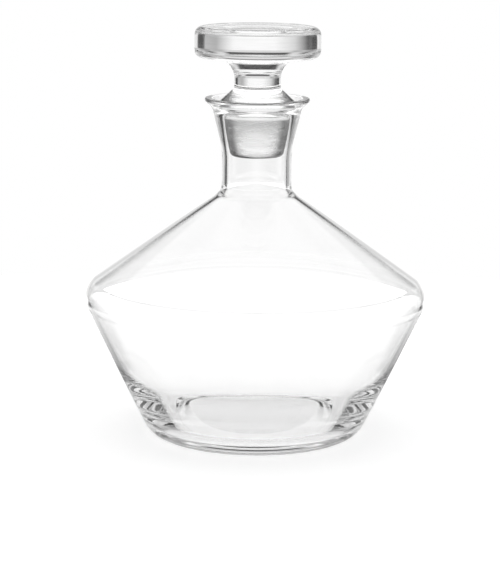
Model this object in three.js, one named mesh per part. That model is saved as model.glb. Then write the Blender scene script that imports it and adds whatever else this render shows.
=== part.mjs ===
// A clear glass decanter: a vessel of two cones that meet at a wide belly, on a heavy bowl-shaped
// base and under a flared neck, and the solid pressed glass stopper that sits in its mouth.
// Millimetres, +Z up. The origin is at the centre of the foot, on the table.
// Both pieces are turned forms, so each is one outline of radius and height, revolved about Z.

import * as THREE from 'three';

// Vessel, outside. A corner is where two straight stretches would meet before they are rounded.
const BASE_RADIUS = 52.5;
const HEEL_ROUND = 12; // it leaves the decanter standing on 45 in radius
const BELLY_CORNER_RADIUS = 87.9; // the round leaves the belly 85 in radius
const BELLY_CORNER_HEIGHT = 73.6;
const BELLY_ROUND = 10.7;
const SHOULDER_RISE = 49.5; // from the belly corner up to the root of the neck
const NECK_ROOT_WIDENING = 0.15;
const NECK_ROOT_ROUND = 6.8;
const NECK_HEIGHT = 46.2; // from its root to the top of the lip
const WAIST_RISE = 21.1; // from the root of the neck to where it starts to widen
const WAIST_ROUND = 45;
const FLARE_DROP = 5; // from the top of the lip down to the corner where it turns out
const FLARE_ROUND = 6;
const LIP_THICKNESS = 1.3;
const LIP_ROUND = 0.6;

// Vessel, inside
const BORE_RADIUS = 14.75; // at its narrowest
const BORE_WAIST_RISE = 17.2; // from the root of the neck to where the bore starts to widen
const THROAT_WIDENING = 2.65; // the bore's slight taper, from there up to the throat
const THROAT_DROP = 6.2; // from the top of the lip down to the throat
const THROAT_ROUND = 5;
const MOUTH_WIDENING = 4.9; // from the throat out to the inner edge of the lip
const MOUTH_ROUND = 1.5;
const BORE_ROUND = 60;
const BORE_ROOT_ROUND = 6;

// Vessel, walls
const LIP_WIDTH = 3.55;
const FLARE_WALL = 4.75; // the wall of the neck thickens towards the mouth
const NECK_WALL = 2.4;
const SHOULDER_WALL = 2.2;
const BELLY_WALL = 2;
const SIDE_WALL = 2.2; // the side wall, carried on down to the table

// Vessel, inside of the base: below a height the side wall thickens towards a flat floor
const THICKENING_HEIGHT = 34;
const THICKENING_ROUND = 60;
const BOWL_RADIUS = 48.5; // of the corner between the thick wall and the floor
const BOWL_ROUND = 12;
const FLOOR_HEIGHT = 7; // the inner floor, above the table

// Vessel, underside: a shallow recess with a sloping side, inside the ring that the decanter stands on
const FOOT_RING_WIDTH = 10; // from the base corner, so the heel's round takes most of it
const RECESS_DEPTH = 3;
const RECESS_EDGE_ROUND = 1.5;
const RECESS_CROWN_SHARE = 0.8; // of the recess radius that its flat crown takes
const RECESS_CROWN_ROUND = 8;

// Stopper in the mouth. Its collar rests on the flare above the throat.
const SEAT_CLEARANCE = 0.3;
const COLLAR_RADIUS = 18.7;
const COLLAR_BAND = 2.3; // the upright band above the seat
const COLLAR_ROUND = 0.8;
const SKIRT_CLEARANCE = 1; // the clear skirt below the seat hangs free of the bore
const SKIRT_LENGTH = 9.8;
const SKIRT_ROUND = 1.2;

// Stopper below the skirt: the ground plug, which tapers and guides it into the bore
const PLUG_GAP = 1.75; // between the foot of the plug and the bore at its narrowest
const PLUG_LENGTH = 14.7;
const PLUG_FOOT_ROUND = 2.6;

// Stopper above the mouth: cone, stem and disc
const CONE_HEIGHT = 6.6;
const CONE_ROUND = 3.5;
const STEM_RADIUS = 11.5;
const STEM_HEIGHT = 15.1;
const STEM_ROUND = 10.5; // from the stem out into the underside of the disc
const DISC_RADIUS = 30.9;
const DISC_CROWN = 0.3; // how far the rim swells between its edges
const DISC_THICKNESS = 15;
const DISC_TOP_ROUND = 3.8;
const DISC_FOOT_ROUND = 3.3;
const DISC_RIM_ROUND = 80;

// Facets
const TURNS = 56; // flats round each piece
const FACET_ERROR = 0.08; // most that a flat lies inside its round
const WIDEST_FLAT = 30; // and the most degrees of a small round in one flat
const LEFT_STRAIGHT = 0.02; // share of a stretch that rounds at its two ends leave between them

// A corner of an outline: radius r from the axis, height z, and the round that softens it.
function corner( r, z, round = 0 ) {

	return { at: new THREE.Vector2( r, z ), round };

}

// A straight wall, as a point on it and its direction, moved to the left of the way from a to b
// by one distance at a and another at b.
function wallLine( a, b, shiftA = 0, shiftB = shiftA ) {

	const left = b.clone().sub( a ).normalize();
	left.set( - left.y, left.x );
	const from = a.clone().addScaledVector( left, shiftA );
	const to = b.clone().addScaledVector( left, shiftB );
	return { from, way: to.sub( from ).normalize() };

}

function meet( one, other ) {

	const along = other.from.clone().sub( one.from ).cross( other.way ) / one.way.cross( other.way );
	return one.from.clone().addScaledVector( one.way, along );

}

const level = ( z ) => ( { from: new THREE.Vector2( 0, z ), way: new THREE.Vector2( 1, 0 ) } );
const upright = ( r ) => ( { from: new THREE.Vector2( r, 0 ), way: new THREE.Vector2( 0, 1 ) } );

// The outline's points, with an arc at each rounded corner. Two rounds that would run into each
// other on the stretch between them share it in proportion.
function roundOutline( corners ) {

	const wanted = corners.map( ( { at, round }, i ) => {

		if ( round === 0 ) return { half: 0, reach: 0 };
		const back = corners[ i - 1 ].at.clone().sub( at );
		const ahead = corners[ i + 1 ].at.clone().sub( at );
		const half = back.angleTo( ahead ) / 2;
		return { half, reach: round / Math.tan( half ) };

	} );

	const share = ( i, j ) => {

		const room = corners[ i ].at.distanceTo( corners[ j ].at ) * ( 1 - LEFT_STRAIGHT );
		return Math.min( 1, room / ( wanted[ i ].reach + wanted[ j ].reach ) );

	};

	return corners.flatMap( ( { at, round }, i ) => {

		if ( round === 0 ) return [ at ];
		const { half } = wanted[ i ];
		const reach = wanted[ i ].reach * Math.min( share( i, i - 1 ), share( i, i + 1 ) );
		const radius = reach * Math.tan( half );
		const back = corners[ i - 1 ].at.clone().sub( at ).normalize();
		const ahead = corners[ i + 1 ].at.clone().sub( at ).normalize();
		const inward = back.clone().add( ahead ).normalize();
		const centre = at.clone().addScaledVector( inward, radius / Math.sin( half ) );
		const start = at.clone().addScaledVector( back, reach );
		const turn = ( Math.PI - 2 * half ) * Math.sign( ahead.cross( back ) );
		const flat = 2 * Math.acos( 1 - Math.min( 1, FACET_ERROR / radius ) );
		const widest = THREE.MathUtils.degToRad( WIDEST_FLAT );
		const steps = Math.ceil( Math.abs( turn ) / Math.min( flat, widest ) );
		return Array.from( { length: steps + 1 }, ( _, k ) =>
			start.clone().rotateAround( centre, turn * k / steps ) );

	} );

}

function turnedPiece( name, corners, material ) {

	const geometry = new THREE.LatheGeometry( roundOutline( corners ), TURNS );
	geometry.rotateX( Math.PI / 2 ); // the lathe's axis is Y, the decanter's is Z
	const piece = new THREE.Mesh( geometry, material );
	piece.name = name;
	return piece;

}

// Heights that both pieces share
const neckRoot = BELLY_CORNER_HEIGHT + SHOULDER_RISE;
const waist = neckRoot + WAIST_RISE;
const lipTop = neckRoot + NECK_HEIGHT;

// The bore of the neck: a slight taper from its narrowest up to the throat, then the flared mouth
const waistRadius = BORE_RADIUS + NECK_WALL;
const throat = new THREE.Vector2( BORE_RADIUS + THROAT_WIDENING, lipTop - THROAT_DROP );
const mouthEdge = new THREE.Vector2( throat.x + MOUTH_WIDENING, lipTop );
const boreWaist = new THREE.Vector2( BORE_RADIUS, neckRoot + BORE_WAIST_RISE );

// The outer corners of the vessel
const baseCorner = new THREE.Vector2( BASE_RADIUS, 0 );
const bellyCorner = new THREE.Vector2( BELLY_CORNER_RADIUS, BELLY_CORNER_HEIGHT );
const rootCorner = new THREE.Vector2( waistRadius + NECK_ROOT_WIDENING, neckRoot );

function vesselOutline() {

	const recessRadius = BASE_RADIUS - FOOT_RING_WIDTH;
	const lipRadius = mouthEdge.x + LIP_WIDTH;
	const outside = [
		corner( 0, RECESS_DEPTH ),
		corner( recessRadius * RECESS_CROWN_SHARE, RECESS_DEPTH, RECESS_CROWN_ROUND ),
		corner( recessRadius, 0, RECESS_EDGE_ROUND ),
		corner( baseCorner.x, baseCorner.y, HEEL_ROUND ),
		corner( bellyCorner.x, bellyCorner.y, BELLY_ROUND ),
		corner( rootCorner.x, rootCorner.y, NECK_ROOT_ROUND ),
		corner( waistRadius, waist, WAIST_ROUND ),
		corner( throat.x + FLARE_WALL, lipTop - FLARE_DROP, FLARE_ROUND ),
		corner( lipRadius, lipTop - LIP_THICKNESS, LIP_ROUND ),
		corner( lipRadius, lipTop, LIP_ROUND )
	];

	const sideFace = wallLine( baseCorner, bellyCorner, SIDE_WALL, BELLY_WALL );
	const shoulderFace = wallLine( bellyCorner, rootCorner, BELLY_WALL, SHOULDER_WALL );
	const boreRoot = meet( shoulderFace, upright( BORE_RADIUS ) );
	const bellyInside = meet( sideFace, shoulderFace );
	const thickening = meet( sideFace, level( THICKENING_HEIGHT ) );
	const inside = [
		corner( mouthEdge.x, mouthEdge.y, MOUTH_ROUND ),
		corner( throat.x, throat.y, THROAT_ROUND ),
		corner( boreWaist.x, boreWaist.y, BORE_ROUND ),
		corner( boreRoot.x, boreRoot.y, BORE_ROOT_ROUND ),
		corner( bellyInside.x, bellyInside.y, BELLY_ROUND - BELLY_WALL ),
		corner( thickening.x, thickening.y, THICKENING_ROUND ),
		corner( BOWL_RADIUS, FLOOR_HEIGHT, BOWL_ROUND ),
		corner( 0, FLOOR_HEIGHT )
	];

	return [ ...outside, ...inside ];

}

function stopperOutline() {

	const seatFace = wallLine( throat, mouthEdge, SEAT_CLEARANCE );
	const skirtFace = wallLine( boreWaist, throat, SKIRT_CLEARANCE );
	const seatEdge = meet( seatFace, upright( COLLAR_RADIUS ) );
	const collarTop = seatEdge.y + COLLAR_BAND;
	const coneTop = collarTop + CONE_HEIGHT;
	const discFoot = coneTop + STEM_HEIGHT;
	const discTop = discFoot + DISC_THICKNESS;

	const skirtTop = meet( seatFace, skirtFace );
	const skirtFoot = meet( skirtFace, level( seatEdge.y - SKIRT_LENGTH ) );
	const plugRadius = BORE_RADIUS - PLUG_GAP;
	const plugFoot = skirtFoot.y - PLUG_LENGTH;

	return [
		corner( 0, plugFoot ),
		corner( plugRadius, plugFoot, PLUG_FOOT_ROUND ),
		corner( skirtFoot.x, skirtFoot.y, SKIRT_ROUND ),
		corner( skirtTop.x, skirtTop.y, SKIRT_ROUND ),
		corner( seatEdge.x, seatEdge.y, COLLAR_ROUND ),
		corner( COLLAR_RADIUS, collarTop, COLLAR_ROUND ),
		corner( STEM_RADIUS, coneTop, CONE_ROUND ),
		corner( STEM_RADIUS, discFoot, STEM_ROUND ),
		corner( DISC_RADIUS, discFoot, DISC_FOOT_ROUND ),
		corner( DISC_RADIUS + DISC_CROWN, ( discFoot + discTop ) / 2, DISC_RIM_ROUND ),
		corner( DISC_RADIUS, discTop, DISC_TOP_ROUND ),
		corner( 0, discTop )
	];

}

const clearGlass = new THREE.MeshStandardMaterial( { color: 0xf2f5f5, roughness: 0.03, metalness: 0 } );
const groundGlass = new THREE.MeshStandardMaterial( { color: 0xe4e8e9, roughness: 0.2, metalness: 0 } );

const group = new THREE.Group();
group.add( turnedPiece( 'vessel', vesselOutline(), clearGlass ) );
group.add( turnedPiece( 'stopper', stopperOutline(), groundGlass ) );

export default group;
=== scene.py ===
# %% [markdown]
# # A glass decanter with a ground stopper
#
# The real object is two pieces of clear glass. The vessel is blown: a thick bowl-shaped
# base carries two cones that meet in a rounded belly, and a waisted neck ends in a thin lip.
# The stopper is pressed solid: a grip disc, a stem, a collar that sits in the mouth and a
# plug that has been ground matt.
#
# Both are turned forms, so each one is drawn here as a half section and swung round the
# upright axis, as a glassmaker's mould is cut on a lathe. The solids that come with the
# part have flat facets; clear glass bends light at every facet, so both solids are
# replaced by smooth copies of the same sizes.

# %% Load the solids and keep their box
import math

import bmesh
import bpy
from mathutils import Matrix, Vector


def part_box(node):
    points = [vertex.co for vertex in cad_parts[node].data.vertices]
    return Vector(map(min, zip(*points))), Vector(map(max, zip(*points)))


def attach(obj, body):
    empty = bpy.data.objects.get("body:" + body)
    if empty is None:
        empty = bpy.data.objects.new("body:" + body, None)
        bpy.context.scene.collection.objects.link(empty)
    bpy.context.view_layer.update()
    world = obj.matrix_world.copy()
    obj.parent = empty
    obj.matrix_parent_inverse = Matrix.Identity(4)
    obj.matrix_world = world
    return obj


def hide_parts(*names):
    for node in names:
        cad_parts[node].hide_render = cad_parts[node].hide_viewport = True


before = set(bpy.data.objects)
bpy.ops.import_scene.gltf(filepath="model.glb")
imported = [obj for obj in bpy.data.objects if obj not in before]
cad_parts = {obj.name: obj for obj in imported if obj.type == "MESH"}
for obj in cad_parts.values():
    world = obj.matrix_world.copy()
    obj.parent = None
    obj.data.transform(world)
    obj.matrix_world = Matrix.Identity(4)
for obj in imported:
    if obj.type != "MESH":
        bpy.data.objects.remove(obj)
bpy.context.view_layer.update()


def in_mm(place, digits=1):
    """A place in metres as rounded millimetres, to print."""
    return [round(value * 1000, digits) for value in place]


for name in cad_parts:
    low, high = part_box(name)
    print(name, "reaches from", in_mm(low), "to", in_mm(high), "mm")

# %% [markdown]
# ## The camera
#
# The picture was taken from a little over a metre away and a hand above the stopper, with
# a long lens, so the rings of the glass show as narrow ellipses. The camera stands there,
# tips down by eleven degrees and leans by half a degree, because the decanter leans by
# that much in the picture. Places are in metres and angles in radians.

# %% Camera
CAMERA_PLACE = (-0.0027, -1.1119, 0.2899)
CAMERA_TIPPED_DOWN = 0.194
CAMERA_LEAN = 0.0095
SENSOR = 36
LENS = 139.2

camera_data = bpy.data.cameras.new("camera")
camera_data.sensor_width = SENSOR
camera_data.lens = LENS
camera = bpy.data.objects.new("camera", camera_data)
camera.location = CAMERA_PLACE
camera.rotation_mode = "QUATERNION"
upright_lean = Matrix.Rotation(CAMERA_LEAN, 3, "Z")
tip = Matrix.Rotation(math.pi / 2 - CAMERA_TIPPED_DOWN, 3, "X")
camera.rotation_quaternion = (tip @ upright_lean).to_quaternion()
bpy.context.scene.collection.objects.link(camera)
bpy.context.scene.camera = camera
print("camera stands", round(Vector(CAMERA_PLACE).length, 3), "m from the foot of the decanter")

# %% [markdown]
# ## Drawing a half section
#
# A section is a list of corners: a radius, a height and the radius that rounds the corner.
# A pen starts on the first corner. It is pushed along each straight, which
# `extrude_vert_indiv` does for a single point, and swung round each corner, which `spin`
# does about the centre of the arc. That gives true arcs that leave the straights without
# a kink. A kink would show at once, because glass works as a lens.
#
# The straights are divided as well. Smooth shading blends the slope between one point and
# the next, so a long undivided straight would look bent near its rounded ends. Sizes are
# in millimetres up to the moment when a point is made.

# %% Corners and their arcs
MM = 0.001
ARC_STEP = math.radians(3)
FEWEST_ARC_STEPS = 2
STRAIGHT_STEP = 1.25
ROOM_USED = 0.98


class Corner:
    """One corner of a half section, in millimetres."""

    def __init__(self, radius, height, rounding=0):
        self.point = Vector((radius, height))
        self.rounding = rounding
        self.reach = 0
        self.half_angle = 0


def cross(one, other):
    """The turn from one direction to another: above zero is to the left."""
    return one.x * other.y - one.y * other.x


def plan_roundings(corners):
    """Works out how far each arc reaches along its straights, and keeps arcs that share one apart."""
    for before, corner, after in zip(corners, corners[1:], corners[2:]):
        if corner.rounding:
            back = before.point - corner.point
            ahead = after.point - corner.point
            corner.half_angle = back.angle(ahead) / 2
            corner.reach = corner.rounding / math.tan(corner.half_angle)
    wanted = [corner.reach for corner in corners]
    for place, corner in enumerate(corners[1:-1], start=1):
        for neighbour in (place - 1, place + 1):
            both = wanted[place] + wanted[neighbour]
            room = (corners[neighbour].point - corner.point).length * ROOM_USED
            if both > room:
                corner.reach = min(corner.reach, wanted[place] * room / both)


def push_pen(bm, pen, point):
    """Pushes the pen straight to a point of the section, in even steps."""
    target = Vector((point.x * MM, 0, point.y * MM))
    distance = (target - pen.co).length
    steps = max(1, math.ceil(distance / (STRAIGHT_STEP * MM)))
    start = pen.co.copy()
    for step in range(1, steps + 1):
        pen = bmesh.ops.extrude_vert_indiv(bm, verts=[pen])["verts"][0]
        pen.co = start.lerp(target, step / steps)
    return pen


def swing_pen(bm, pen, corner, before, after):
    """Swings the pen round one rounded corner."""
    back = (before.point - corner.point).normalized()
    ahead = (after.point - corner.point).normalized()
    arc_radius = corner.reach * math.tan(corner.half_angle)
    centre = corner.point + (back + ahead).normalized() * arc_radius / math.sin(corner.half_angle)
    turn = (math.pi - 2 * corner.half_angle) * (1 if cross(ahead, back) > 0 else -1)
    steps = max(FEWEST_ARC_STEPS, math.ceil(abs(turn) / ARC_STEP))
    swung = bmesh.ops.spin(bm, geom=[pen], cent=(centre.x * MM, 0, centre.y * MM),
                           axis=(0, -1, 0), angle=turn, steps=steps, use_merge=False)
    return [item for item in swung["geom_last"] if isinstance(item, bmesh.types.BMVert)][0]


def draw_section(bm, corners):
    """Draws the whole half section as a chain of points and edges."""
    plan_roundings(corners)
    first = corners[0].point
    pen = bm.verts.new((first.x * MM, 0, first.y * MM))
    for before, corner, after in zip(corners, corners[1:], corners[2:]):
        back = (before.point - corner.point).normalized()
        pen = push_pen(bm, pen, corner.point + back * corner.reach)
        if corner.rounding:
            pen = swing_pen(bm, pen, corner, before, after)
    push_pen(bm, pen, corners[-1].point)


print("an arc has a point every", round(math.degrees(ARC_STEP)), "degrees, a straight every",
      STRAIGHT_STEP, "mm")

# %% [markdown]
# ## From section to glass
#
# `spin` swings the chain through a full turn in 160 steps and merges the last copy into
# the first. Its ends lie on the axis, where 160 points fall on one place, so doubles are
# merged. Only then are the normals worked out again, so that every face looks out of the
# glass: a ray of light has to know on which side the glass is.

# %% Turn a section into a piece
TURN_STEPS = 160
SAME_PLACE = 1e-7
MILLILITRES = 1e6


def turn_piece(name, corners):
    """Spins a half section into a closed, smooth piece of glass."""
    bm = bmesh.new()
    draw_section(bm, corners)
    chain = bm.verts[:] + bm.edges[:]
    bmesh.ops.spin(bm, geom=chain, cent=(0, 0, 0), axis=(0, 0, 1),
                   angle=2 * math.pi, steps=TURN_STEPS, use_merge=True)
    bmesh.ops.remove_doubles(bm, verts=bm.verts, dist=SAME_PLACE)
    bmesh.ops.recalc_face_normals(bm, faces=bm.faces)
    mesh = bpy.data.meshes.new(name)
    bm.to_mesh(mesh)
    volume = bm.calc_volume(signed=True)
    loose = [edge for edge in bm.edges if not edge.is_manifold]
    bm.free()
    mesh.polygons.foreach_set("use_smooth", [True] * len(mesh.polygons))
    piece = bpy.data.objects.new(name, mesh)
    bpy.context.scene.collection.objects.link(piece)
    print(name, "has", len(mesh.polygons), "faces,", round(volume * MILLILITRES, 1),
          "ml of glass and", len(loose), "open edges")
    return piece


# %% [markdown]
# ## Straight walls
#
# The inside of the vessel follows the outside at a given wall, and the collar of the
# stopper follows the flare of the mouth at a given clearance. Both are found in the same
# way: a line is moved to its left by the wall, and the new corner is where two moved
# lines meet.

# %% Lines of the section
def moved_line(start, end, by_start, by_end=None):
    """The line through two points, moved to its left by one amount or by one at each end."""
    by_end = by_start if by_end is None else by_end
    along = (end - start).normalized()
    left = Vector((-along.y, along.x))
    moved_start = start + left * by_start
    moved_end = end + left * by_end
    return moved_start, (moved_end - moved_start).normalized()


def level(height):
    """A level line across the section."""
    return Vector((0, height)), Vector((1, 0))


def upright(radius):
    """An upright line of the section."""
    return Vector((radius, 0)), Vector((0, 1))


def meeting_point(one, other):
    """Where two lines of the section meet."""
    share = cross(other[0] - one[0], other[1]) / cross(one[1], other[1])
    return one[0] + one[1] * share


# %% [markdown]
# ## The vessel: outside
#
# The outside is a foot with a shallow recess, a rounded heel, a cone that opens to the
# belly, a second cone that closes to the neck, a slightly waisted neck and a flare that
# ends in the lip. Each place below is a corner before it is rounded, and the value that
# ends in ROUND is the radius that rounds it.

# %% Outside of the vessel
BASE_RADIUS = 52.5
HEEL_ROUND = 12
FOOT_RING_WIDTH = 10
RECESS_DEPTH = 3
RECESS_EDGE_ROUND = 1.5
RECESS_CROWN_SHARE = 0.8
RECESS_CROWN_ROUND = 8
BELLY_RADIUS = 87.9
BELLY_HEIGHT = 73.6
BELLY_ROUND = 10.7
BORE_RADIUS = 14.75
NECK_WALL = 2.4
NECK_ROOT_RISE = 49.5
NECK_ROOT_WIDENING = 0.15
NECK_ROOT_ROUND = 6.8
NECK_HEIGHT = 46.2
WAIST_RISE = 21.1
WAIST_ROUND = 45
THROAT_WIDENING = 2.65
THROAT_DROP = 6.2
MOUTH_WIDENING = 4.9
FLARE_WALL = 4.75
FLARE_DROP = 5
FLARE_ROUND = 6
LIP_WIDTH = 3.55
LIP_THICKNESS = 1.3
LIP_ROUND = 0.6

base = Vector((BASE_RADIUS, 0))
belly = Vector((BELLY_RADIUS, BELLY_HEIGHT))
neck_radius = BORE_RADIUS + NECK_WALL
neck_root = Vector((neck_radius + NECK_ROOT_WIDENING, BELLY_HEIGHT + NECK_ROOT_RISE))
lip_height = neck_root.y + NECK_HEIGHT
throat = Vector((BORE_RADIUS + THROAT_WIDENING, lip_height - THROAT_DROP))
mouth = Vector((throat.x + MOUTH_WIDENING, lip_height))
lip_radius = mouth.x + LIP_WIDTH
recess_radius = BASE_RADIUS - FOOT_RING_WIDTH

outside = [
    Corner(0, RECESS_DEPTH),
    Corner(recess_radius * RECESS_CROWN_SHARE, RECESS_DEPTH, rounding=RECESS_CROWN_ROUND),
    Corner(recess_radius, 0, rounding=RECESS_EDGE_ROUND),
    Corner(*base, rounding=HEEL_ROUND),
    Corner(*belly, rounding=BELLY_ROUND),
    Corner(*neck_root, rounding=NECK_ROOT_ROUND),
    Corner(neck_radius, neck_root.y + WAIST_RISE, rounding=WAIST_ROUND),
    Corner(throat.x + FLARE_WALL, lip_height - FLARE_DROP, rounding=FLARE_ROUND),
    Corner(lip_radius, lip_height - LIP_THICKNESS, rounding=LIP_ROUND),
    Corner(lip_radius, lip_height, rounding=LIP_ROUND),
]
print("the lip is", round(lip_height, 1), "mm above the table")

# %% [markdown]
# ## The vessel: inside
#
# Blown glass is thin where it was blown out furthest and thick where it sank. The walls
# are about 2 mm, and from 34 mm down they grow into the base, whose inside is a shallow
# bowl. The light that enters this thick rim is thrown about inside it, and makes the busy
# bright and dark facets along the bottom of the picture.

# %% Inside of the vessel
SIDE_WALL = 2.2
BELLY_WALL = 2
SHOULDER_WALL = 2.2
THICKENING_HEIGHT = 34
THICKENING_ROUND = 60
BOWL_RADIUS = 48.5
BOWL_ROUND = 12
FLOOR_HEIGHT = 7
BORE_WAIST_RISE = 17.2
BORE_ROUND = 60
BORE_ROOT_ROUND = 6
THROAT_ROUND = 5
MOUTH_ROUND = 1.5

inner_side = moved_line(base, belly, SIDE_WALL, BELLY_WALL)
inner_shoulder = moved_line(belly, neck_root, BELLY_WALL, SHOULDER_WALL)
bore_waist = Vector((BORE_RADIUS, neck_root.y + BORE_WAIST_RISE))
bore_root = meeting_point(inner_shoulder, upright(BORE_RADIUS))
inner_belly = meeting_point(inner_side, inner_shoulder)
thickening = meeting_point(inner_side, level(THICKENING_HEIGHT))

inside = [
    Corner(*mouth, rounding=MOUTH_ROUND),
    Corner(*throat, rounding=THROAT_ROUND),
    Corner(*bore_waist, rounding=BORE_ROUND),
    Corner(*bore_root, rounding=BORE_ROOT_ROUND),
    Corner(*inner_belly, rounding=BELLY_ROUND - BELLY_WALL),
    Corner(*thickening, rounding=THICKENING_ROUND),
    Corner(BOWL_RADIUS, FLOOR_HEIGHT, rounding=BOWL_ROUND),
    Corner(0, FLOOR_HEIGHT),
]

vessel = turn_piece("clear_vessel", outside + inside)

# %% [markdown]
# ## The stopper
#
# The stopper is solid. From below it is a plug with some play in the bore, a skirt that
# follows the bore, the conical seat that lies 0.3 mm off the mouth, a narrow upright
# collar, a cone, a stem and the grip disc with its rounded rim.

# %% Section of the stopper
SEAT_CLEARANCE = 0.3
SKIRT_CLEARANCE = 1
COLLAR_RADIUS = 18.7
COLLAR_BAND = 2.3
COLLAR_ROUND = 0.8
SKIRT_LENGTH = 9.8
SKIRT_ROUND = 1.2
PLUG_GAP = 1.75
PLUG_LENGTH = 14.7
PLUG_FOOT_ROUND = 2.6
CONE_HEIGHT = 6.6
CONE_ROUND = 3.5
STEM_RADIUS = 11.5
STEM_HEIGHT = 15.1
STEM_ROUND = 10.5
DISC_RADIUS = 30.9
DISC_CROWN = 0.3
DISC_THICKNESS = 15
DISC_FOOT_ROUND = 3.3
DISC_RIM_ROUND = 80
DISC_TOP_ROUND = 3.8

seat = moved_line(throat, mouth, SEAT_CLEARANCE)
skirt = moved_line(bore_waist, throat, SKIRT_CLEARANCE)
seat_edge = meeting_point(seat, upright(COLLAR_RADIUS))
skirt_top = meeting_point(seat, skirt)
skirt_foot = meeting_point(skirt, level(seat_edge.y - SKIRT_LENGTH))
plug_foot = skirt_foot.y - PLUG_LENGTH
collar_top = seat_edge.y + COLLAR_BAND
cone_top = collar_top + CONE_HEIGHT
disc_foot = cone_top + STEM_HEIGHT
disc_top = disc_foot + DISC_THICKNESS
disc_middle = (disc_foot + disc_top) / 2

stopper = turn_piece("solid_stopper", [
    Corner(0, plug_foot),
    Corner(BORE_RADIUS - PLUG_GAP, plug_foot, rounding=PLUG_FOOT_ROUND),
    Corner(*skirt_foot, rounding=SKIRT_ROUND),
    Corner(*skirt_top, rounding=SKIRT_ROUND),
    Corner(*seat_edge, rounding=COLLAR_ROUND),
    Corner(COLLAR_RADIUS, collar_top, rounding=COLLAR_ROUND),
    Corner(STEM_RADIUS, cone_top, rounding=CONE_ROUND),
    Corner(STEM_RADIUS, disc_foot, rounding=STEM_ROUND),
    Corner(DISC_RADIUS, disc_foot, rounding=DISC_FOOT_ROUND),
    Corner(DISC_RADIUS + DISC_CROWN, disc_middle, rounding=DISC_RIM_ROUND),
    Corner(DISC_RADIUS, disc_top, rounding=DISC_TOP_ROUND),
    Corner(0, disc_top),
])
print("the plug reaches from", round(plug_foot, 1), "to", round(skirt_foot.y, 1), "mm")

# %% [markdown]
# ## Where the pieces belong
#
# The vessel piece rides on the vessel and the stopper piece on the stopper, so the
# stopper lifts out of the mouth. Each one stands for the solid of the same size.

# %% Tie the pieces to the solids
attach(vessel, "vessel")
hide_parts("vessel")
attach(stopper, "stopper")
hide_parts("stopper")
for piece in (vessel, stopper):
    top_of_piece = max(corner[2] for corner in piece.bound_box)
    print(piece.name, "ends", round(top_of_piece * 1000, 1), "mm above the table")

# %% [markdown]
# ## Writing a material as sums
#
# A material is a graph of nodes, and a sum of two masks takes a node and two wires. The
# class below wraps the output of a node, so that `1 - mask` or `wave * 0.5` adds those
# nodes by itself. Everything that isn't plain arithmetic goes through `add_node`, which
# takes the type of the node, its settings and what goes into its sockets. `rising` and
# `as_colour` are two such nodes that are needed often: a soft step and a grey.

# %% The socket class and the node helpers
def add_node(tree, kind, settings=None, sockets=None, output=0):
    """Adds a node, sets it up, wires it and returns the wanted output."""
    node = tree.nodes.new(kind)
    for setting, value in (settings or {}).items():
        if setting == "stops":
            set_stops(node.color_ramp, value)
        else:
            setattr(node, setting, value)
    for key, value in (sockets or {}).items():
        if isinstance(value, Socket):
            tree.links.new(value.socket, node.inputs[key])
        else:
            node.inputs[key].default_value = value
    return Socket(node.outputs[output]) if node.outputs else None


def set_stops(ramp, stops):
    """Gives a ramp its stops, each a place from 0 to 1 and a grey."""
    while len(ramp.elements) < len(stops):
        ramp.elements.new(0.5)
    for element, (place, grey) in zip(ramp.elements, stops):
        element.position = place
        element.color = (grey, grey, grey, 1)


class Socket:
    """The output of a node, on which plain arithmetic adds Math nodes."""

    def __init__(self, socket):
        self.socket = socket
        self.tree = socket.id_data

    def maths(self, operation, first, second):
        return add_node(self.tree, "ShaderNodeMath", {"operation": operation}, {0: first, 1: second})

    def __add__(self, other):
        return self.maths("ADD", self, other)

    def __radd__(self, other):
        return self.maths("ADD", other, self)

    def __sub__(self, other):
        return self.maths("SUBTRACT", self, other)

    def __rsub__(self, other):
        return self.maths("SUBTRACT", other, self)

    def __mul__(self, other):
        return self.maths("MULTIPLY", self, other)

    def __rmul__(self, other):
        return self.maths("MULTIPLY", other, self)


def rising(value, low, high, at_low=0.0, at_high=1.0):
    """Goes smoothly from one number to another while a value goes from low to high."""
    return add_node(value.tree, "ShaderNodeMapRange", {"interpolation_type": "SMOOTHSTEP"},
                    {"Value": value, "From Min": low, "From Max": high,
                     "To Min": at_low, "To Max": at_high})


def as_colour(tone):
    """The grey colour of a tone from 0 to 1."""
    return add_node(tone.tree, "ShaderNodeCombineColor", sockets={0: tone, 1: tone, 2: tone})


# %% [markdown]
# ## Clear glass
#
# Clear glass is a Principled shader with full transmission and no roughness. It also
# hardly dims a shadow: for the rays that test for shadow, a clear shader takes over and
# lets nearly all light through, which stands for the light that real glass gathers under
# itself. The helpers below start such a glass and give patterns their place on a piece.

# %% Materials of glass
GLASS_BENDS = 1.52
SHADOW_CLEAR = 0.97


def start_glass(name):
    """A new material with its shader ready: returns the material, the node tree and the shader."""
    material = bpy.data.materials.new(name)
    material.use_nodes = True
    tree = material.node_tree
    shader = tree.nodes["Principled BSDF"]
    shader.inputs["Base Color"].default_value = (1, 1, 1, 1)
    shader.inputs["Transmission Weight"].default_value = 1
    shader.inputs["Roughness"].default_value = 0
    shader.inputs["IOR"].default_value = GLASS_BENDS
    return material, tree, shader


def let_shadow_through(tree, shader):
    """Mixes in a clear shader for the rays that test for shadow."""
    clear = add_node(tree, "ShaderNodeBsdfTransparent", sockets={0: (SHADOW_CLEAR,) * 3 + (1,)})
    shadow_ray = add_node(tree, "ShaderNodeLightPath", output="Is Shadow Ray")
    mixed = add_node(tree, "ShaderNodeMixShader",
                     sockets={0: shadow_ray, 1: shader, 2: clear})
    tree.links.new(mixed.socket, tree.nodes["Material Output"].inputs["Surface"])


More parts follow.
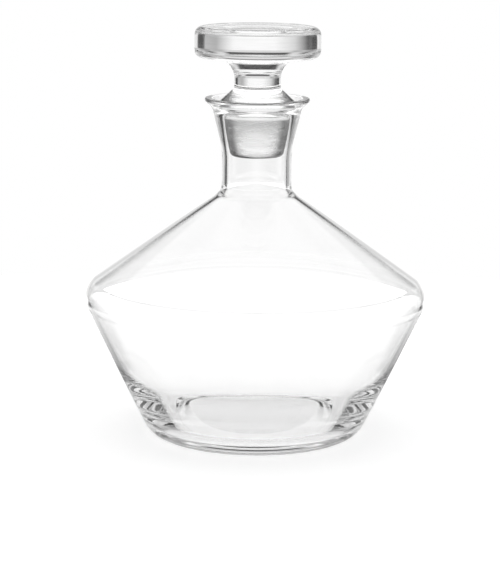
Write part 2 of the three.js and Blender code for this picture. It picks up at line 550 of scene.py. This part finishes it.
def place_on_piece(tree, stretch=(1, 1, 1)):
    """The place on the piece in metres, stretched for a pattern that runs one way."""
    place = add_node(tree, "ShaderNodeTexCoord", output="Object")
    return add_node(tree, "ShaderNodeMapping", sockets={"Vector": place, "Scale": stretch})


def noise(tree, place, scale, detail):
    """Soft noise from 0 to 1 at so many grains a metre."""
    return add_node(tree, "ShaderNodeTexNoise",
                    sockets={"Vector": place, "Scale": scale, "Detail": detail})


print("glass bends light by", GLASS_BENDS, "and lets through", SHADOW_CLEAR, "of it to a shadow")

# %% [markdown]
# ## Blown glass of the vessel
#
# The surface of blown glass is never quite true. It has broad soft waves from the blowing
# and fine rings from the turned mould. They could be modelled, but they are only hundredths
# of a millimetre high, so a Bump node reads both from noise. The rings are noise that is
# stretched across the axis.

# %% Blown glass of the vessel
WAVE_HEIGHT = 0.00002
WAVE_GRAINS = 28
RING_GRAINS = 260
RING_STRETCH = (0.15, 0.15, 1)
RING_SHARE = 0.04

blown_glass, tree, shader = start_glass("blown_clear_glass")
waves = noise(tree, place_on_piece(tree), WAVE_GRAINS, detail=1.0)
rings = noise(tree, place_on_piece(tree, RING_STRETCH), RING_GRAINS, detail=1.0)
surface = waves + rings * RING_SHARE
bump = add_node(tree, "ShaderNodeBump",
                sockets={"Strength": 1.0, "Distance": WAVE_HEIGHT, "Height": surface})
tree.links.new(bump.socket, shader.inputs["Normal"])
let_shadow_through(tree, Socket(shader.outputs[0]))
vessel.data.materials.append(blown_glass)
print(blown_glass.name, "has waves up to", WAVE_HEIGHT * 1000, "mm high")

# %% [markdown]
# ## Pressed glass of the stopper
#
# The stopper is pressed in a mould, and then its lower end is ground with wet grit until
# it is matt. Both are one piece of glass, so they share a material, and a mask by height
# tells the ground end from the rest. The grit wanders a little up the skirt, so the mask
# ends there, and softly. Inside the mask the glass is rough.

# %% Pressed glass and where it is ground
GROUND_ABOVE = 5
GRIND_EDGE = 0.8
GROUND_ROUGHNESS = 0.2

pressed_glass, tree, shader = start_glass("pressed_and_ground_glass")
height = add_node(tree, "ShaderNodeSeparateXYZ", sockets={0: place_on_piece(tree)}, output="Z")
ground_top = skirt_foot.y + GROUND_ABOVE
ground = rising(height, (ground_top - GRIND_EDGE) * MM, (ground_top + GRIND_EDGE) * MM, 1.0, 0.0)
tree.links.new((ground * GROUND_ROUGHNESS).socket, shader.inputs["Roughness"])
print(pressed_glass.name, "is rough below", round(ground_top, 1), "mm")

# %% [markdown]
# ## Rings of the mould and grain of the grinding
#
# The mould was turned, and its rings show on the disc as very fine streaks. The grit left
# a grain that runs no way at all. Both are noise again. The streaks are stretched across
# the axis and the grain isn't, and the mask lets each one show where it belongs.

# %% Streaks and grain
STREAK_GRAINS = 900
STREAK_STRETCH = (0.1, 0.1, 1)
STREAK_HEIGHT = 0.05
GRIT_GRAINS = 3500
GRIT_HEIGHT = 2

streaks = noise(tree, place_on_piece(tree, STREAK_STRETCH), STREAK_GRAINS, detail=2.0)
grit = noise(tree, place_on_piece(tree), GRIT_GRAINS, detail=3.0)
surface = streaks * STREAK_HEIGHT * (1 - ground) + grit * GRIT_HEIGHT * ground
bump = add_node(tree, "ShaderNodeBump",
                sockets={"Strength": 1.0, "Distance": WAVE_HEIGHT, "Height": surface})
tree.links.new(bump.socket, shader.inputs["Normal"])
print("the grain of the grinding is up to", round(WAVE_HEIGHT * GRIT_HEIGHT * 1000, 3), "mm high")

# %% [markdown]
# ## Colour of the clear glass and painted shade on the ground glass
#
# The streaks of the mould also change a little how clear the disc is. The ground end is
# painted darker towards its upper edge, which is painted shade, and it is also darker towards
# its foot. Each is a soft step by height, and the same mask as before keeps them off the disc.

# %% Tint of the glass and painted shade of the plug
STREAKS_SHOW = (0.45, 0.7)
STREAK_GREY = 0.93
UPPER_BAND = 9
UPPER_SHADE_GREY = 0.5
FOOT_BAND = 5
FOOT_GREY = 0.75

clear_tint = rising(streaks, *STREAKS_SHOW, 1.0, STREAK_GREY)
# painted shade: the ground end is painted darker towards its upper edge
upper_painted_shade = rising(height, (ground_top - UPPER_BAND) * MM, ground_top * MM, 1.0, UPPER_SHADE_GREY)
foot_darkening = rising(height, plug_foot * MM, (plug_foot + FOOT_BAND) * MM, FOOT_GREY, 1.0)
streaks_and_painted_shade = clear_tint * (1 - ground) + upper_painted_shade * foot_darkening * ground
tree.links.new(as_colour(streaks_and_painted_shade).socket, shader.inputs["Base Color"])
print("the ground glass darkens over", UPPER_BAND, "mm at its top and", FOOT_BAND, "mm at its foot")

# %% [markdown]
# ## The matt sides of the plug
#
# Light that meets the ground skin squarely comes through it as a soft blur. Layer Weight
# tells the slant, and a Mix Shader goes by it from the rough glass to a plain matt shader.
# The matt shader's colour is painted darker at a slant, as painted shade, so the middle of
# the plug stays bright and its sides turn into a matt grey skin. The grit went round the
# plug, so the streaks run through this mask as well.

# %% Matt skin
BLEND_EVENLY = 0.5
FULLY_SLANTED = 0.5
SLANT_SHADE_GREY = 0.1
GRINDING_RINGS = 1.6
SIDES_MATT = 0.95
SKIN_ROUGHNESS = 0.7

slant = add_node(tree, "ShaderNodeLayerWeight", sockets={"Blend": BLEND_EVENLY}, output="Facing")
at_a_slant = rising(slant, 0.0, FULLY_SLANTED)
# painted shade: the matt skin is painted darker where it is seen at a slant
skin_painted_shade = 1 - at_a_slant * (1 - SLANT_SHADE_GREY)
skin_share = (at_a_slant + (streaks - 0.5) * GRINDING_RINGS) * SIDES_MATT
skin_shade_colour = as_colour(skin_painted_shade)
skin = add_node(tree, "ShaderNodeBsdfPrincipled",
                sockets={"Base Color": skin_shade_colour, "Roughness": SKIN_ROUGHNESS, "Normal": bump})
part_matt = add_node(tree, "ShaderNodeMixShader",
                     sockets={0: ground * skin_share, 1: Socket(shader.outputs[0]), 2: skin})
let_shadow_through(tree, part_matt)
stopper.data.materials.append(pressed_glass)
print("the sides of the plug are matt by up to", SIDES_MATT)

# %% [markdown]
# ## The table
#
# The decanter stands on a plain white table, which melts into the white wall behind it.
# The floor is a small disc of matt white, a tenth of a millimetre below the foot, so that
# the two don't share a place. Most of its white is what the light of the studio gives it,
# so it keeps the shadow.

# %% Disc of the floor
FLOOR_RADIUS = 0.45
FLOOR_SIDES = 96
FLOOR_DROP = 0.0001

bm = bmesh.new()
bmesh.ops.create_circle(bm, cap_ends=True, radius=FLOOR_RADIUS, segments=FLOOR_SIDES)
floor_mesh = bpy.data.meshes.new("white_floor")
bm.to_mesh(floor_mesh)
bm.free()
floor = bpy.data.objects.new("white_floor", floor_mesh)
floor.location = (0, 0, -FLOOR_DROP)
bpy.context.scene.collection.objects.link(floor)
print("the floor is", FLOOR_RADIUS * 2, "m across")

# %% [markdown]
# ## The glow of the table
#
# A matt floor that is lit from above is a little darker than the white behind it, so its
# edge would show. It therefore also glows for the camera and for what the glass mirrors
# and bends, a little near the decanter and up to the white of the wall at the rim. Light
# Path picks those rays. Under the foot there is some more glow, for the light that the
# thick base gathers there.

# %% White table
GLOW_STARTS = 0.12
GLOW_NEAR = 0.25
GATHERED = 0.2
FOOT_EDGE = 0.05
FOOT_EDGE_SOFT = 0.01
TABLE_ROUGHNESS = 0.8

white_table = bpy.data.materials.new("white_table")
white_table.use_nodes = True
tree = white_table.node_tree
shader = tree.nodes["Principled BSDF"]
shader.inputs["Roughness"].default_value = TABLE_ROUGHNESS
shader.inputs["Specular IOR Level"].default_value = 0
place = add_node(tree, "ShaderNodeTexCoord", output="Object")
from_centre = add_node(tree, "ShaderNodeVectorMath", {"operation": "LENGTH"}, {0: place}, "Value")
light_path = add_node(tree, "ShaderNodeLightPath").socket.node
seen = Socket(light_path.outputs["Is Camera Ray"])
seen = seen + Socket(light_path.outputs["Is Glossy Ray"])
seen = seen + Socket(light_path.outputs["Is Transmission Ray"])
gathered = rising(from_centre, FOOT_EDGE - FOOT_EDGE_SOFT, FOOT_EDGE + FOOT_EDGE_SOFT, GATHERED, 0.0)
glow = rising(from_centre, GLOW_STARTS, FLOOR_RADIUS, GLOW_NEAR, 1.0) + gathered
glow = glow * rising(seen, 0.0, 1.0)
print("the table glows by", GLOW_NEAR, "near the decanter")

# %% [markdown]
# ## Dark cards on the table
#
# A clear cone on a white table has no outline, because it mirrors nothing but white. Glass
# is photographed with dark cards beside it for that reason. Here they lie on the table left
# and right of the decanter, and only light that was mirrored in the glass sees them, so
# the table itself stays plain. A card is a sector of the floor: angles are counted from
# straight behind the decanter, to either side. It starts in a middle grey, gets paler
# outwards and ends nearly black.

# %% Sectors of the cards
TO_DEGREES = 180 / math.pi
CARD_BEGINS = (30, 42)
CARD_ENDS = (75, 95)
CARD_EDGE = 0.02
CARD_NEAR = 0.11
CARD_FAR = 0.21
CARD_NEAR_GREY = 0.45
CARD_FAR_GREY = 0.7
CARD_DARKENS = (0.26, 0.32)
CARD_DARKEST = 0.1

on_floor = add_node(tree, "ShaderNodeSeparateXYZ", sockets={0: place}).socket.node
across, away = (Socket(on_floor.outputs[axis]) for axis in ("X", "Y"))
bearing = across.maths("ARCTAN2", across.maths("ABSOLUTE", across, 0.0), away) * TO_DEGREES
on_card = rising(bearing, *CARD_BEGINS) * rising(bearing, *CARD_ENDS, 1.0, 0.0)
on_card = on_card * rising(from_centre, CARD_NEAR - CARD_EDGE, CARD_NEAR)
card_tone = rising(from_centre, CARD_NEAR, CARD_FAR, CARD_NEAR_GREY, CARD_FAR_GREY)
card_tone = card_tone * rising(from_centre, *CARD_DARKENS, 1.0, CARD_DARKEST)
print("each card spans", CARD_ENDS[1] - CARD_BEGINS[0], "degrees of the table")

# %% [markdown]
# ## Painting the table
#
# One shade dims both the paint and the glow where a card lies. Light Path counts how often
# a ray was mirrored, and only a ray that was mirrored at least once gets the shade.

# %% Colour and glow of the table
FLOOR_WHITE = 0.9


def at_least(count, number):
    """1 for a ray that was counted so many times or more, and 0 for the others."""
    return count.maths("GREATER_THAN", count, number - 0.5)


on_card = on_card * at_least(Socket(light_path.outputs["Glossy Depth"]), 1)
shade = 1 - on_card * (1 - card_tone)
tree.links.new(as_colour(shade * FLOOR_WHITE).socket, shader.inputs["Base Color"])
tree.links.new(as_colour(glow * shade).socket, shader.inputs["Emission Color"])
shader.inputs["Emission Strength"].default_value = 1
floor_mesh.materials.append(white_table)
print(white_table.name, "is painted", FLOOR_WHITE, "of full white")

# %% [markdown]
# ## The studio
#
# Clear glass on white is drawn by what it mirrors and bends. The decanter stands in front
# of a bright white sheet. Round it hang cards in five greys, and a big soft lamp is above
# them. The world is that light: belts, one above the other, each a ramp by the compass
# direction, and the lamp at the top. Zero is straight behind the decanter, and angles to
# the right of it are above zero. The dark cards draw the dark lines of the neck and of the
# disc's rim, and the white ones draw the bright bands between them. Most belts are alike
# on both sides. The lowest isn't, because one side of the disc is darker than the other.

# %% Cards of the studio
BLACK = 0.05
DARK = 0.2
GREY = 0.45
PALE = 0.7
WHITE = 1.0


def both_sides(stops):
    """The stops of a belt that is alike on both sides."""
    return [(-angle, grey) for angle, grey in reversed(stops)] + stops[1:]


# each belt under the angle that it reaches up to, as pairs of a compass angle and a grey
BELTS = {
    0: [(-180, PALE), (-130, DARK), (-100, DARK), (-80, WHITE), (-62, WHITE), (-60, BLACK),
        (-40, BLACK), (-25, PALE), (-10, WHITE), (15, WHITE), (30, GREY), (45, GREY), (47, BLACK),
        (62, BLACK), (67, WHITE), (80, WHITE), (100, GREY), (140, DARK), (180, PALE)],
    10: both_sides([(0, PALE), (20, PALE), (25, GREY), (35, GREY), (45, DARK), (65, PALE),
                    (180, PALE)]),
    30: both_sides([(0, BLACK), (20, BLACK), (25, PALE), (30, PALE), (40, BLACK), (50, GREY),
                    (75, WHITE), (110, GREY), (180, PALE)]),
    50: both_sides([(0, WHITE), (40, WHITE), (55, GREY), (115, PALE), (140, WHITE), (180, WHITE)]),
    70: both_sides([(0, WHITE), (80, WHITE), (110, DARK), (180, PALE)]),
}
print("the studio has", len(BELTS), "belts of cards")

# %% [markdown]
# ## Hanging the cards
#
# A world has no objects in it, only directions. The direction is turned into a compass
# angle and a rise above the table, both in degrees. A colour ramp by the compass makes one
# belt, and the belts are blended into each other where the rise passes from one to the
# next, with the lamp on top.

# %% World of belts
SOFT_EDGE = 1.5
LAMP = 1.0
FULL_TURN = 360

studio = bpy.data.worlds.new("studio")
bpy.context.scene.world = studio
studio.use_nodes = True
tree = studio.node_tree
tree.nodes.clear()
direction = add_node(tree, "ShaderNodeTexCoord", output="Generated")
split = add_node(tree, "ShaderNodeSeparateXYZ", sockets={0: direction}).socket.node
east, north, up = (Socket(split.outputs[axis]) for axis in ("X", "Y", "Z"))
compass = east.maths("ARCTAN2", east, north) * TO_DEGREES
rise = up.maths("ARCSINE", up, 0.0) * TO_DEGREES


def mix(tree, share, low, high):
    """Blends two colours by a share."""
    return add_node(tree, "ShaderNodeMix", {"data_type": "RGBA"},
                    {"Factor": share, "A": low, "B": high}, output=2)


def belt(stops):
    """One belt of cards, as a ramp by the compass."""
    places = [(angle / FULL_TURN + 0.5, grey) for angle, grey in stops]
    return add_node(tree, "ShaderNodeValToRGB", {"stops": places}, {0: compass * (1 / FULL_TURN) + 0.5})


def above(edge):
    """Goes from 0 to 1 where the rise passes the edge between two belts."""
    return rising(rise, edge - SOFT_EDGE, edge + SOFT_EDGE)


edges = list(BELTS)
surroundings = belt(BELTS[edges[0]])
for edge, next_edge in zip(edges, edges[1:]):
    surroundings = mix(tree, above(edge), surroundings, belt(BELTS[next_edge]))
surroundings = mix(tree, above(edges[-1]), surroundings, (LAMP, LAMP, LAMP, 1))
print("the lamp begins", edges[-1], "degrees above the table")

# %% [markdown]
# ## Who sees the cards
#
# Light Path tells a ray how often it was mirrored and how often it went through a surface
# on its way from the camera. A ray that passes both walls of the vessel without being
# mirrored goes on as straight as through a window. It has gone through four surfaces. It
# sees plain white, and so does the camera, so the picture stands on white from every side.
#
# What draws the glass is the rest: light that was mirrored, as in the dark lines of the
# neck, and light that went through the solid stopper alone, which bends the cards into view
# like a lens. Light that went through both the stopper and the neck is scattered more, so
# it sees them fainter.

# %% Light for each kind of ray
BOTH_WALLS = 4
PLUG_CARDS = 0.2
PLAIN_WHITE = (1, 1, 1, 1)

light_path = add_node(tree, "ShaderNodeLightPath").socket.node
surfaces = Socket(light_path.outputs["Transmission Depth"])
bent = at_least(surfaces, 1) - at_least(surfaces, BOTH_WALLS)
bent = bent + at_least(surfaces, BOTH_WALLS + 1) * PLUG_CARDS
was_mirrored = at_least(Socket(light_path.outputs["Glossy Depth"]), 1)
sees_cards = was_mirrored.maths("MAXIMUM", was_mirrored, bent)
seen_light = mix(tree, sees_cards, PLAIN_WHITE, surroundings)
light = add_node(tree, "ShaderNodeBackground", sockets={"Color": seen_light, "Strength": 1.0})
add_node(tree, "ShaderNodeOutputWorld", sockets={"Surface": light})
print("straight light is white, and bent or mirrored light is", studio.name)

# %% [markdown]
# ## Light paths
#
# A ray may be mirrored a dozen times inside the thick base before it leaves the glass.
# A ray that is given up on turns black, so the limits are raised well above the usual.
# The Standard view shows a white of strength 1 as plain white.

# %% Light paths and view
BOUNCES = 24
CLEAR_SURFACES = 16

cycles = bpy.context.scene.cycles
cycles.max_bounces = BOUNCES
cycles.glossy_bounces = BOUNCES
cycles.transmission_bounces = BOUNCES
cycles.transparent_max_bounces = CLEAR_SURFACES
bpy.context.scene.view_settings.view_transform = "Standard"
print("a ray is followed for", cycles.max_bounces, "bounces")
